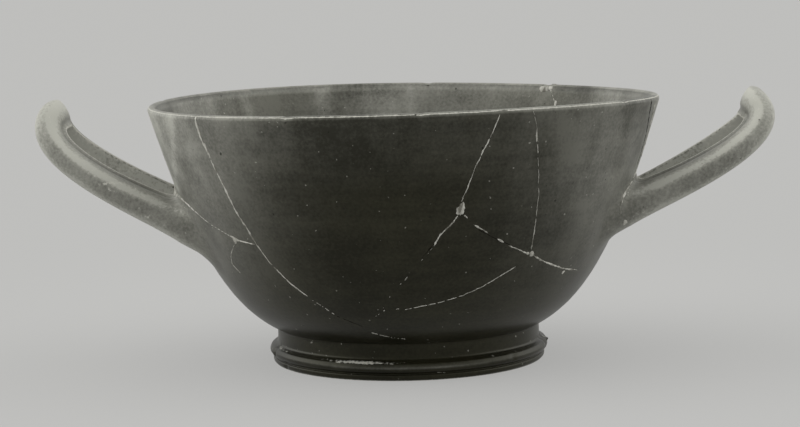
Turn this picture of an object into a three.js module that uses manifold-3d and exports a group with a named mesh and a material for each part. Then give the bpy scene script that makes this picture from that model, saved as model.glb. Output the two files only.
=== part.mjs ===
// Stemless kylix: a wheel-thrown, black-glazed clay drinking cup with a deep flaring
// bowl, a low moulded ring foot and two upswept horseshoe handles, fired as one piece.
// Units are millimetres. +Z is up, the cup stands on z = 0 with its wheel axis on the
// Z axis, and the two handles reach out along +X and -X.

import * as THREE from 'three';
import { mergeVertices } from 'three/addons/utils/BufferGeometryUtils.js';
import Module from 'manifold-3d';

const wasm = await Module();
wasm.setup();

// ---------------------------------------------------------------- driving dimensions

const RIM_RADIUS = 80;          // outer radius at the lip
const RIM_HEIGHT = 82.4;        // top of the lip above the table
const LIP_THICKNESS = 2.8;      // rounded lip
const WALL_THICKNESS = 4.8;     // wall where the bowl meets the foot
const FLOOR_HEIGHT = 13.2;      // inside floor at the axis
const FOOT_HEIGHT = 11;         // underside of the bowl above the table
const NECK_RADIUS = 41.4;       // plain band between the foot mouldings and the bowl
const TORUS_RADIUS = 44.1;      // rounded moulding round the foot
const BASE_RADIUS = 42.4;       // outer edge of the resting ring
const RECESS_RADIUS = 34.5;     // hollow under the foot
const RECESS_DEPTH = 6.2;

const LATHE_SEGMENTS = 72;
const BOWL_STEPS = 12;          // rings up the bowl, inside and outside
const LIP_STEPS = 4;            // facets round each half of the lip

const HANDLE_STEPS = 40;        // rings along a handle
const HANDLE_SIDES = 14;        // points round its section
const LOOP_SQUARENESS = 2.6;    // 2 bends the horseshoe to an ellipse, more squares it
const ROOT_RADIUS = 66;         // where the handle's centre line starts, inside the wall
const ROOT_BURIED = 14;         // it runs straight on from there, and the hollow trims it

const RIM_WARP = 0.6;           // the lip rises and dips by this much, twice round
const RIM_WARP_ANGLE = THREE.MathUtils.degToRad(122);

// The handles were bent by hand and differ. Each has half the span between its two
// branches, the height of its centre line at the wall, the slope it leaves with and how
// far that slope holds, how far out and how high its bend is and the slope it is turned
// up to, how much higher than the middle its root on the -Y side was stuck on (the other
// root is as much lower), and how much the bend is twisted up on the +Y side.
const HANDLES = [
  {
    side: 1, halfSpan: 19.4, rootHeight: 46.5, slope: 23.7, rootHold: 17,
    reach: 109, tipHeight: 78.7, tipSlope: 140, rootLift: 1.7, bendTwist: 1.1,
  },
  {
    side: -1, halfSpan: 19.5, rootHeight: 45.2, slope: 25.5, rootHold: 20,
    reach: 109.8, tipHeight: 79.2, tipSlope: 118, rootLift: 0.6, bendTwist: 0,
  },
];
const TIP_HOLD = 12;            // how far the slope of the bend is held
const STEEP = { from: 50, to: 118 };   // slopes where the section turns half as fast
const HANDLE_HALF_WIDTH = 4.7;  // across the strip, in its own plane
const HANDLE_HALF_THICKNESS = { root: 5.2, tip: 4.3 };
const ROOT_FLARE = { thickness: 1.2, width: 2.4, length: 7, start: 69 };  // smeared clay

// ---------------------------------------------------------------- outlines of the bowl

const point = (radius, height) => new THREE.Vector2(radius, height);

const LIP_RADIUS = LIP_THICKNESS / 2;
const LIP_CENTRE = point(RIM_RADIUS - LIP_RADIUS, RIM_HEIGHT - LIP_RADIUS);

// The bowl swells quickly from the foot, then rises with a slight flare to the lip.
const bowlOutside = new THREE.CubicBezierCurve(
  point(NECK_RADIUS, FOOT_HEIGHT),
  point(0.75 * RIM_RADIUS, FOOT_HEIGHT + 9),
  point(0.8625 * RIM_RADIUS, 0.55 * RIM_HEIGHT),
  point(RIM_RADIUS, LIP_CENTRE.y),
);

// The same curve moved inwards by a wall that thins steadily towards the lip.
function insidePoint(t) {
  const thickness = THREE.MathUtils.lerp(WALL_THICKNESS, LIP_THICKNESS, t ** 0.6);
  const along = bowlOutside.getTangent(t);
  return bowlOutside.getPoint(t).add(point(-along.y, along.x).multiplyScalar(thickness));
}

// Quarter circle on the lip, between two angles measured from the outward radius.
function lipArc(from, to) {
  const arc = new THREE.EllipseCurve(
    LIP_CENTRE.x, LIP_CENTRE.y, LIP_RADIUS, LIP_RADIUS, from, to, to < from,
  );
  return arc.getPoints(LIP_STEPS);
}

// Foot, from the resting ring up: lower band, incised groove, torus, neck.
const footOutside = [
  point(BASE_RADIUS, 0),
  point(BASE_RADIUS + 0.6, 0.6),
  point(BASE_RADIUS + 0.6, 1.7),
  point(BASE_RADIUS + 0.2, 2.2),
  point(TORUS_RADIUS - 0.5, 2.8),
  point(TORUS_RADIUS, 4.1),
  point(TORUS_RADIUS - 0.7, 5.4),
  point(NECK_RADIUS + 0.2, 6.2),
  point(NECK_RADIUS, FOOT_HEIGHT - 1),
];

// Hollow under the foot, from the axis out to the inner edge of the resting ring.
const footUnderside = [
  point(0, RECESS_DEPTH + 0.4),
  point(RECESS_RADIUS - 6, RECESS_DEPTH),
  point(RECESS_RADIUS - 1.5, RECESS_DEPTH - 1.4),
  point(RECESS_RADIUS, 0.8),
  point(RECESS_RADIUS + 0.8, 0),
];

// ---------------------------------------------------------------- solids

// Turn a closed three.js geometry into a solid that can be joined and cut.
function solid(geometry) {
  const bare = new THREE.BufferGeometry();
  bare.setAttribute('position', geometry.getAttribute('position'));
  bare.setIndex(geometry.getIndex());
  const merged = mergeVertices(bare, 1e-4);
  const index = merged.getIndex().array;
  const triangles = [];
  for (let i = 0; i < index.length; i += 3) {
    const [a, b, c] = [index[i], index[i + 1], index[i + 2]];
    if (a !== b && b !== c && c !== a) {
      triangles.push(a, b, c);
    }
  }
  return new wasm.Manifold(new wasm.Mesh({
    numProp: 3,
    vertProperties: new Float32Array(merged.getAttribute('position').array),
    triVerts: new Uint32Array(triangles),
  }));
}

// Spin an outline of (radius, height) points round the Z axis.
function turned(outline) {
  return solid(new THREE.LatheGeometry(outline, LATHE_SEGMENTS).rotateX(Math.PI / 2));
}

// The cup without its hollow: foot, underside and bowl, closed level with the lip.
function cupBlank() {
  return turned([
    ...footUnderside,
    ...footOutside,
    ...bowlOutside.getPoints(BOWL_STEPS),
    ...lipArc(0, Math.PI / 2).slice(1),
    point(0, RIM_HEIGHT),
  ]);
}

// The hollow: a gently dished floor, the inner wall, and the inner half of the lip.
function cupHollow() {
  const aboveLip = RIM_HEIGHT + 8;
  const wall = [];
  for (let i = 1; i < BOWL_STEPS; i += 1) {
    wall.push(insidePoint(i / BOWL_STEPS));
  }
  const floor = new THREE.CubicBezierCurve(
    point(0, FLOOR_HEIGHT),
    point(NECK_RADIUS * 0.55, FLOOR_HEIGHT),
    point(NECK_RADIUS * 0.85, FLOOR_HEIGHT + 0.8),
    wall[0],
  );
  return turned([
    ...floor.getPoints(4),
    ...wall.slice(1),
    ...lipArc(Math.PI, Math.PI / 2),
    point(LIP_CENTRE.x, aboveLip),
    point(0, aboveLip),
  ]);
}

// ---------------------------------------------------------------- handles

// Centre line of a handle: a flat horseshoe laid on a strip that sweeps up and out.
class HandleLine extends THREE.Curve {
  constructor(handle) {
    super();
    this.handle = handle;
    const slope = THREE.MathUtils.degToRad(handle.slope);
    const tipSlope = THREE.MathUtils.degToRad(handle.tipSlope);
    const root = point(ROOT_RADIUS, handle.rootHeight);
    const tip = point(handle.reach, handle.tipHeight);
    this.sideView = new THREE.CubicBezierCurve(
      root,
      point(Math.cos(slope), Math.sin(slope)).multiplyScalar(handle.rootHold).add(root),
      point(-TIP_HOLD * Math.cos(tipSlope), -TIP_HOLD * Math.sin(tipSlope)).add(tip),
      tip,
    );
  }

  // How far out along the strip the horseshoe is at t, from 0 at a root to 1 at the bend.
  outward(t) {
    return Math.sin(Math.PI * t) ** (2 / LOOP_SQUARENESS);
  }

  getPoint(t, target = new THREE.Vector3()) {
    const swing = Math.cos(Math.PI * t);
    const across = this.handle.halfSpan * Math.sign(swing)
      * Math.abs(swing) ** (2 / LOOP_SQUARENESS);
    const outward = this.outward(t);
    const side = this.sideView.getPointAt(outward);
    const towardsPlusY = this.handle.side * across / this.handle.halfSpan;
    const lift = towardsPlusY
      * (this.handle.bendTwist * outward - this.handle.rootLift * (1 - outward));
    return target.set(side.x, across, side.y + lift);
  }

  // Upward direction of the section at t. It leans with the strip, but at the bend, where
  // the strip turns up and back, it turns only half as far, as a rolled strip does.
  sectionUp(t) {
    const along = this.sideView.getTangentAt(this.outward(t));
    let lean = THREE.MathUtils.radToDeg(Math.atan2(along.y, along.x));
    if (lean > STEEP.from) {
      lean = STEEP.from + (Math.min(lean, STEEP.to) - STEEP.from) / 2;
    }
    const angle = THREE.MathUtils.degToRad(lean);
    return new THREE.Vector3(-Math.sin(angle), 0, Math.cos(angle));
  }
}

// Section of the handle at one angle: flat on the inside of the loop with a crisp upper
// edge, rounded everywhere else. The two numbers are fractions of half width and depth.
function sectionPoint(angle) {
  const inward = Math.cos(angle);
  const upward = Math.sin(angle);
  const squareness = inward > 0 ? (upward > 0 ? 7 : 3.2) : 2.3;
  const shape = (value) => Math.sign(value) * Math.abs(value) ** (2 / squareness);
  return [shape(inward), shape(upward)];
}

function handleGeometry(handle) {
  const line = new HandleLine(handle);
  const loopCentre = new THREE.Vector3(handle.reach - 20, 0, handle.tipHeight - 12);
  const positions = [];
  const index = [];

  // One ring of the sweep at t, moved by `shift` along the line's direction there.
  function addRing(t, shift) {
    const up = line.sectionUp(t);
    const along = line.getTangent(t);
    const centre = line.getPoint(t).addScaledVector(along, shift);
    const inward = new THREE.Vector3().crossVectors(up, along).normalize();
    if (inward.dot(loopCentre.clone().sub(centre)) < 0) {
      inward.negate();
    }
    const clearOfWall = Math.max(0, Math.hypot(centre.x, centre.y) - ROOT_FLARE.start);
    const flare = Math.exp(-clearOfWall / ROOT_FLARE.length);
    const halfWidth = HANDLE_HALF_WIDTH + ROOT_FLARE.width * flare;
    const halfThickness = ROOT_FLARE.thickness * flare + THREE.MathUtils.lerp(
      HANDLE_HALF_THICKNESS.root, HANDLE_HALF_THICKNESS.tip, line.outward(t),
    );
    for (let k = 0; k < HANDLE_SIDES; k += 1) {
      const [a, b] = sectionPoint((2 * Math.PI * (k + 0.5)) / HANDLE_SIDES);
      const corner = centre.clone()
        .addScaledVector(inward, a * halfWidth)
        .addScaledVector(up, b * halfThickness);
      positions.push(corner.x * handle.side, corner.y * handle.side, corner.z);
    }
  }

  addRing(0, -ROOT_BURIED);
  for (let step = 0; step <= HANDLE_STEPS; step += 1) {
    addRing(line.getUtoTmapping(step / HANDLE_STEPS), 0);
  }
  addRing(1, ROOT_BURIED);

  const lastRing = HANDLE_STEPS + 2;
  const ring = (step, k) => step * HANDLE_SIDES + (k % HANDLE_SIDES);
  for (let step = 0; step < lastRing; step += 1) {
    for (let k = 0; k < HANDLE_SIDES; k += 1) {
      index.push(ring(step, k), ring(step + 1, k + 1), ring(step, k + 1));
      index.push(ring(step, k), ring(step + 1, k), ring(step + 1, k + 1));
    }
  }
  for (let k = 1; k < HANDLE_SIDES - 1; k += 1) {
    index.push(ring(0, 0), ring(0, k), ring(0, k + 1));
    index.push(ring(lastRing, 0), ring(lastRing, k + 1), ring(lastRing, k));
  }
  const geometry = new THREE.BufferGeometry();
  geometry.setAttribute('position', new THREE.Float32BufferAttribute(positions, 3));
  geometry.setIndex(index);
  return geometry;
}

// ---------------------------------------------------------------- the cup

// The cup warped a little in drying: the lip is lowest and highest twice round, and
// the warp dies away towards the foot.
function warp(geometry) {
  const position = geometry.getAttribute('position');
  for (let i = 0; i < position.count; i += 1) {
    const angle = Math.atan2(position.getY(i), position.getX(i));
    const height = position.getZ(i);
    const share = Math.min(1, Math.max(0, height - FOOT_HEIGHT) / (RIM_HEIGHT - FOOT_HEIGHT));
    const lift = RIM_WARP * share ** 2 * Math.cos(2 * (angle - RIM_WARP_ANGLE));
    position.setZ(i, height + lift);
  }
  return geometry;
}

function cupGeometry() {
  let cup = cupBlank();
  for (const handle of HANDLES) {
    cup = cup.add(solid(handleGeometry(handle)));
  }
  const result = cup.subtract(cupHollow()).getMesh();
  const geometry = new THREE.BufferGeometry();
  geometry.setAttribute('position', new THREE.BufferAttribute(
    new Float32Array(result.vertProperties), 3,
  ));
  geometry.setIndex(new THREE.BufferAttribute(new Uint32Array(result.triVerts), 1));
  return warp(geometry);
}

const blackGlaze = new THREE.MeshStandardMaterial({
  color: 0x2b2a22,
  roughness: 0.34,
  metalness: 0,
});

const cup = new THREE.Mesh(cupGeometry(), blackGlaze);
cup.name = 'kylix_cup';

const group = new THREE.Group();
group.add(cup);

export default group;
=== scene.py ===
import math

import bmesh
import bpy
import numpy as np
from mathutils import Matrix, Vector
from mathutils.bvhtree import BVHTree
from mathutils.kdtree import KDTree


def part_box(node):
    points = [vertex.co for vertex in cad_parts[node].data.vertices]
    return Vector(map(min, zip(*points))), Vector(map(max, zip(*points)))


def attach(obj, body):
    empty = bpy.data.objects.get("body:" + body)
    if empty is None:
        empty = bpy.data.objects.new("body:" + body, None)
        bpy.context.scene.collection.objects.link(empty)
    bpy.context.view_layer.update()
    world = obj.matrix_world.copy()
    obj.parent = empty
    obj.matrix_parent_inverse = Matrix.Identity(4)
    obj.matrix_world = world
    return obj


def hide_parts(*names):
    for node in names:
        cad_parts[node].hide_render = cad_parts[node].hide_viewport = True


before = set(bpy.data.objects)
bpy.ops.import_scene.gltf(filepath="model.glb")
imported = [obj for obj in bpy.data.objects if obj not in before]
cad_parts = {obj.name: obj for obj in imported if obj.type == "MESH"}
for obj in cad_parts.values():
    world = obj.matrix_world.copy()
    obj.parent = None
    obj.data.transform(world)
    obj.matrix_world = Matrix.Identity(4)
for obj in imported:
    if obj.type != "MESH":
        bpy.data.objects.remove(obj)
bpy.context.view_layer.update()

scene = bpy.context.scene

# ---------------------------------------------------------------- bowl and foot
# A deep bowl on a low ring foot, thrown on the wheel in one lump of fine clay and turned
# to shape when leather hard: a rounded moulding and a groove round the foot, a nearly
# straight neck, a thin rounded lip, and faint rings left by the potter's fingers.

MM = 0.001
_, cup_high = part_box("kylix_cup")

RIM_RADIUS = cup_high.y
RIM_HEIGHT = 82.4 * MM
LIP_THICKNESS = 2.8 * MM
WALL_THICKNESS = 4.8 * MM
FLOOR_HEIGHT = 13.2 * MM
FOOT_HEIGHT = 11 * MM
NECK_RADIUS = 41.4 * MM
TORUS_RADIUS = 44.1 * MM
BASE_RADIUS = 42.4 * MM
RECESS_RADIUS = 34.5 * MM
RECESS_DEPTH = 6.2 * MM
TURNS = 320                      # divisions round the wheel axis
OUTSIDE_STEPS = 66               # steps up the outside of the bowl
INSIDE_STEPS = 48                # and up the inside
FLOOR_JOIN = 4                   # steps up the inside to where the floor curves into it
FLOOR_STEPS = 14
LIP_STEPS = 16
CORNER_SHARE = 0.45              # a rounded corner takes at most this share of its sides
MARK_DEPTH = 0.07 * MM           # finger rings left on the wheel
MARK_PITCH = 3.4 * MM
MARK_DRIFT = (6, 6, 0)           # how fast the rings change round the bowl
MARK_RISE = 12.0                 # how quickly they begin above the foot
WARP_HEIGHT = 0.6 * MM           # the lip rises and dips by this much, twice round
WARP_ANGLE = math.radians(122)
AXIS_RING = 1 * MM               # radius of the path that the outline is swept along
WELD = 0.001 * MM                # points closer than this are one point


def bezier(start, start_pull, end_pull, end, steps):
    """Points along a cubic curve, and its direction at each."""
    t = np.linspace(0, 1, steps + 1)[:, None]
    a, b, c, d = (np.array(point, float) for point in (start, start_pull, end_pull, end))
    points = (1 - t) ** 3 * a + 3 * (1 - t) ** 2 * t * b + 3 * (1 - t) * t * t * c + t ** 3 * d
    along = (1 - t) ** 2 * (b - a) + 2 * (1 - t) * t * (c - b) + t * t * (d - c)
    return points, along / np.linalg.norm(along, axis=1)[:, None]


def bowl_outside(steps):
    """The bowl swells quickly from the foot, then rises with a slight flare to the lip."""
    return bezier(
        (NECK_RADIUS, FOOT_HEIGHT),
        (0.75 * RIM_RADIUS, FOOT_HEIGHT + 9 * MM),
        (0.8625 * RIM_RADIUS, 0.55 * RIM_HEIGHT),
        (RIM_RADIUS, RIM_HEIGHT - LIP_THICKNESS / 2),
        steps,
    )


def bowl_inside(steps):
    """The outside moved in by a wall that thins towards the lip."""
    points, along = bowl_outside(steps)
    share = np.linspace(0, 1, steps + 1)[:, None] ** 0.6
    thickness = WALL_THICKNESS + (LIP_THICKNESS - WALL_THICKNESS) * share
    return points + np.stack([-along[:, 1], along[:, 0]], axis=1) * thickness


def lip_arc(steps):
    """Half circle over the lip, from the outside to the inside."""
    angle = np.linspace(0, math.pi, steps + 1)
    radius = LIP_THICKNESS / 2
    return np.stack([
        RIM_RADIUS - radius + radius * np.cos(angle),
        RIM_HEIGHT - radius + radius * np.sin(angle),
    ], axis=1)


def softened(corners, radius, spacing):
    """A line through corners that are rounded off, with a point at least every spacing."""
    corners = [np.array(corner, float) for corner in corners]
    line = [corners[0]]
    for before, corner, after in zip(corners, corners[1:], corners[2:]):
        to_before, to_after = before - corner, after - corner
        shorter = min(np.linalg.norm(to_before), np.linalg.norm(to_after))
        cut = min(radius, CORNER_SHARE * shorter)
        start = corner + to_before / np.linalg.norm(to_before) * cut
        end = corner + to_after / np.linalg.norm(to_after) * cut
        line += [(1 - t) ** 2 * start + 2 * (1 - t) * t * corner + t * t * end
                 for t in (0, 0.25, 0.5, 0.75, 1)]
    line.append(corners[-1])
    filled = []
    for a, b in zip(line, line[1:]):
        steps = max(1, math.ceil(np.linalg.norm(b - a) / spacing))
        filled += [a + (b - a) * i / steps for i in range(steps)]
    return np.array(filled + [line[-1]])


foot_underside = softened([
    (0, RECESS_DEPTH + 0.4 * MM),
    (RECESS_RADIUS - 6 * MM, RECESS_DEPTH),
    (RECESS_RADIUS - 1.5 * MM, RECESS_DEPTH - 1.4 * MM),
    (RECESS_RADIUS, 0.8 * MM),
    (RECESS_RADIUS + 0.8 * MM, 0),
    (BASE_RADIUS, 0),
], radius=0.8 * MM, spacing=2.6 * MM)
foot_outside = softened([
    (BASE_RADIUS, 0),
    (BASE_RADIUS + 0.6 * MM, 0.6 * MM),
    (BASE_RADIUS + 0.6 * MM, 1.7 * MM),
    (BASE_RADIUS + 0.1 * MM, 2.0 * MM),
    (BASE_RADIUS + 0.3 * MM, 2.4 * MM),
    (TORUS_RADIUS - 0.4 * MM, 2.9 * MM),
    (TORUS_RADIUS, 4.1 * MM),
    (TORUS_RADIUS - 0.6 * MM, 5.4 * MM),
    (NECK_RADIUS + 0.4 * MM, 6.1 * MM),
    (NECK_RADIUS + 0.05 * MM, 6.6 * MM),
    (NECK_RADIUS, FOOT_HEIGHT),
], radius=0.45 * MM, spacing=0.8 * MM)
inner_wall = bowl_inside(INSIDE_STEPS)[FLOOR_JOIN:]
floor_curve, _ = bezier(
    (0, FLOOR_HEIGHT),
    (NECK_RADIUS * 0.55, FLOOR_HEIGHT),
    (NECK_RADIUS * 0.85, FLOOR_HEIGHT + 0.8 * MM),
    inner_wall[0],
    FLOOR_STEPS,
)
cup_outline = np.concatenate([
    foot_underside[:-1],
    foot_outside[:-1],
    bowl_outside(OUTSIDE_STEPS)[0][:-1],
    lip_arc(LIP_STEPS)[:-1],
    inner_wall[::-1],
    floor_curve[::-1][1:],
])


def placed(name, mesh):
    """A new object for a mesh, in the scene."""
    made = bpy.data.objects.new(name, mesh)
    scene.collection.objects.link(made)
    return made


def line_object(name, points, edges, **amounts):
    """A line of points joined by edges, with a number for each point by name."""
    mesh = bpy.data.meshes.new(name)
    mesh.from_pydata(points, edges, [])
    for label, values in amounts.items():
        mesh.attributes.new(label, "FLOAT", "POINT").data.foreach_set("value", values)
    return placed(name, mesh)


def new_tree(name, kind, inputs, outputs):
    """An empty node tree with these sockets, and its two end nodes."""
    tree = bpy.data.node_groups.new(name, kind)
    for direction, sockets in (("INPUT", inputs), ("OUTPUT", outputs)):
        for label, socket in sockets.items():
            tree.interface.new_socket(label, in_out=direction, socket_type="NodeSocket" + socket)
    return tree, tree.nodes.new("NodeGroupInput").outputs, tree.nodes.new("NodeGroupOutput").inputs


def add(tree, kind, inputs=None, **settings):
    """A node with these settings, and values or links on its inputs by name or number."""
    made = tree.nodes.new(kind)
    for label, value in settings.items():
        setattr(made, label, value)
    for key, value in (inputs or {}).items():
        if isinstance(value, bpy.types.NodeSocket):
            tree.links.new(value, made.inputs[key])
        else:
            made.inputs[key].default_value = value
    return made


def math_node(tree, operation, *values):
    """The result of a sum on numbers or sockets."""
    return add(tree, "ShaderNodeMath", dict(enumerate(values)), operation=operation).outputs[0]


def vector_node(tree, operation, *values, result=0):
    """The result of a sum on vectors."""
    keys = (0, "Scale") if operation == "SCALE" else range(len(values))
    made = add(tree, "ShaderNodeVectorMath", dict(zip(keys, values)), operation=operation)
    return made.outputs[result]


def grown(name, source, tree, **values):
    """Run a geometry tree on source, keep the result as a plain mesh, and delete source."""
    modifier = source.modifiers.new(tree.name, "NODES")
    modifier.node_group = tree
    for item in tree.interface.items_tree:
        label = item.name.replace(" ", "_")
        if item.in_out == "INPUT" and label in values:
            modifier[item.identifier] = values[label]
    graph = bpy.context.evaluated_depsgraph_get()
    mesh = bpy.data.meshes.new_from_object(source.evaluated_get(graph), depsgraph=graph)
    mesh.name = name
    source.modifiers.remove(modifier)
    bpy.data.objects.remove(source)
    return placed(name, mesh)


def finish_tree(tree, shape, given, result):
    """End a geometry tree: smooth, real geometry in its material."""
    smooth = add(tree, "GeometryNodeSetShadeSmooth", {"Geometry": shape}).outputs[0]
    real = add(tree, "GeometryNodeRealizeInstances", {0: smooth}).outputs[0]
    coated = add(tree, "GeometryNodeSetMaterial", {
        "Geometry": real, "Material": given["Material"],
    }).outputs[0]
    tree.links.new(coated, result["Geometry"])


def turning_tree():
    """Turns an outline round the wheel axis, then gives it finger rings and drying warp."""
    tree, given, result = new_tree("turned_on_the_wheel", "GeometryNodeTree", {
        "Outline": "Geometry", "Turns": "Int", "Mark Depth": "Float", "Mark Pitch": "Float",
        "Warp Height": "Float", "Warp Angle": "Float", "Warp Start": "Float",
        "Warp Rise": "Float", "Seed": "Float", "Material": "Material",
    }, {"Geometry": "Geometry"})
    outline = add(tree, "GeometryNodeMeshToCurve", {0: given["Outline"]}).outputs[0]
    path = add(tree, "GeometryNodeCurvePrimitiveCircle", {
        "Resolution": given["Turns"], "Radius": AXIS_RING,
    }).outputs[0]
    swept = add(tree, "GeometryNodeCurveToMesh", {"Curve": path, "Profile Curve": outline})
    closed = add(tree, "GeometryNodeMergeByDistance", {
        "Geometry": swept.outputs[0], "Distance": WELD,
    }).outputs[0]

    place = add(tree, "GeometryNodeInputPosition").outputs[0]
    parts = add(tree, "ShaderNodeSeparateXYZ", {0: place}).outputs
    ring_height = math_node(tree, "DIVIDE", parts["Z"], given["Mark Pitch"])
    ring_place = vector_node(
        tree, "ADD", vector_node(tree, "MULTIPLY", place, MARK_DRIFT),
        add(tree, "ShaderNodeCombineXYZ", {"Z": ring_height}).outputs[0])
    rings = add(tree, "ShaderNodeTexNoise", {
        "Vector": ring_place, "W": given["Seed"], "Scale": 1.0, "Detail": 1.5,
    }, noise_dimensions="4D").outputs[0]
    above_foot = math_node(tree, "SUBTRACT", parts["Z"], given["Warp Start"])
    share = add(tree, "ShaderNodeClamp", {
        0: math_node(tree, "DIVIDE", above_foot, given["Warp Rise"]),
    }).outputs[0]
    mark = math_node(tree, "SUBTRACT", rings, 0.5)
    mark = math_node(tree, "MULTIPLY", mark, math_node(tree, "MULTIPLY", given["Mark Depth"], 2.0))
    begun = math_node(tree, "MINIMUM", math_node(tree, "MULTIPLY", share, MARK_RISE), 1.0)
    mark = math_node(tree, "MULTIPLY", mark, begun)
    normal = add(tree, "GeometryNodeInputNormal").outputs[0]
    marked = add(tree, "GeometryNodeSetPosition", {
        "Geometry": closed, "Offset": vector_node(tree, "SCALE", normal, mark),
    }).outputs[0]

    angle = math_node(tree, "ARCTAN2", parts["Y"], parts["X"])
    turn = math_node(tree, "SUBTRACT", angle, given["Warp Angle"])
    wave = math_node(tree, "COSINE", math_node(tree, "MULTIPLY", turn, 2.0))
    lift = math_node(tree, "MULTIPLY", math_node(tree, "MULTIPLY", share, share), wave)
    lift = math_node(tree, "MULTIPLY", lift, given["Warp Height"])
    warped = add(tree, "GeometryNodeSetPosition", {
        "Geometry": marked,
        "Offset": add(tree, "ShaderNodeCombineXYZ", {"Z": lift}).outputs[0],
    }).outputs[0]
    finish_tree(tree, warped, given, result)
    return tree


def face_outwards(mesh):
    """Merge what meets and point every face out of the clay."""
    work = bmesh.new()
    work.from_mesh(mesh)
    bmesh.ops.remove_doubles(work, verts=work.verts, dist=WELD)
    bmesh.ops.recalc_face_normals(work, faces=work.faces)
    work.to_mesh(mesh)
    work.free()


def turned(name, outline, turns, marks):
    """A closed turned body from an outline of (radius, height) points."""
    swept = [(r - AXIS_RING, -z, 0) for r, z in outline]
    edges = [(i, i + 1) for i in range(len(swept) - 1)]
    body = grown(
        name, line_object(name + "_outline", swept, edges), turning, Turns=turns,
        Mark_Depth=marks, Mark_Pitch=MARK_PITCH, Warp_Height=WARP_HEIGHT,
        Warp_Angle=WARP_ANGLE, Warp_Start=FOOT_HEIGHT, Warp_Rise=RIM_HEIGHT - FOOT_HEIGHT,
        Seed=4.0, Material=glaze,
    )
    face_outwards(body.data)
    return body


glaze = bpy.data.materials.new("black_gloss")
glaze.use_nodes = True
turning = turning_tree()
cup = turned("glazed_cup", cup_outline, TURNS, MARK_DEPTH)

# ---------------------------------------------------------------- handles
# Two horseshoe handles, each one rolled strip of clay bent by hand and turned up at its
# tip. They were stuck to the wall while wet and their ends smeared into it. The inner
# upper edge is a crisp ridge with a shallow hollow pressed beside it.

ROOT_RADIUS = 66 * MM
ROOT_BURIED = 14 * MM
TIP_HOLD = 12 * MM
TIP_TURN = np.radians([(0, 50, 118), (0, 50, 84)])   # slope of the line, and of its section
LOOP_BEND = 2 / 2.6              # 1 bends the horseshoe to an ellipse, less squares it
HANDLE_HALF_WIDTH = 4.7 * MM
HANDLE_HALF_THICKNESS = (5.2 * MM, 4.3 * MM)      # at the roots and at the tip
ROOT_FLARE = {"start": 69 * MM, "length": 7 * MM, "width": 2.4 * MM, "thickness": 1.2 * MM}
SECTION_BEND = {"ridge": 7.0, "inner": 3.2, "outer": 2.3}   # 2 is an ellipse, more squares it
RIDGE = 0.9                      # where the ridge is, as a share of the half width
RIDGE_HOLLOW = {"place": 0.52, "width": 0.24, "depth": 0.7 * MM}
TOP_FALL = 2.3 * MM              # how far the top slopes down from the ridge outwards
LOOP_MIDDLE = (20 * MM, 12 * MM)   # how far in and down from the bend the loop's middle is
HANDLE_RINGS = 150
HANDLE_SIDES = 56
CURVE_STEPS = 2000               # steps of the curves that the rings are read from
SECTION_STEPS = 2880
SMEAR = 5 * MM                   # reach of the clay smeared round a root
SMEAR_ROUNDS = 6                 # times that the points there are evened out
SMEAR_PULL = 0.5                 # how far they go towards the middle of their neighbours
SMEAR_GROWTH = 3                 # and how quickly that grows from the edge of the smear
SMEAR_TRIES = 4                  # steps of a point towards the smeared surface
SMEAR_CREASE = 0.2               # keeps those steps short in a sharp crease
TOUCHING = 0.01 * MM
WALL_STEPS = 400                 # steps of the curve that radii of the wall are read from
ROOT_REACH = 1.5 * SMEAR         # wall and strip together nearer than this are a root
ROOT_ZONE = {"out": 50 * MM, "across": 45 * MM, "low": 20 * MM, "high": 78 * MM,
             "deep": 1.2 * MM, "merge": 0.3 * MM}
CORE = {"bottom": 16 * MM, "top": 110 * MM, "inset": 1.6 * MM, "steps": 40}
HANDLES = (
    {"side": 1, "half_span": 19.4 * MM, "root_height": 46.5 * MM, "slope": 23.7,
     "root_hold": 17 * MM, "reach": 109 * MM, "tip_height": 78.7 * MM, "tip_slope": 140,
     "root_lift": 1.7 * MM, "bend_twist": 1.1 * MM},
    {"side": -1, "half_span": 19.5 * MM, "root_height": 45.2 * MM, "slope": 25.5,
     "root_hold": 20 * MM, "reach": 109.8 * MM, "tip_height": 79.2 * MM, "tip_slope": 118,
     "root_lift": 0.6 * MM, "bend_twist": 0},
)


def evenly(points, steps, *others):
    """Points the same distance apart along a line, and the other rows at those places."""
    length = np.concatenate([[0], np.cumsum(np.linalg.norm(np.diff(points, axis=0), axis=1))])
    places = np.linspace(0, length[-1], steps + 1)
    return [np.stack([np.interp(places, length, column) for column in rows.T], axis=1)
            for rows in (points, *others)]


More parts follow.
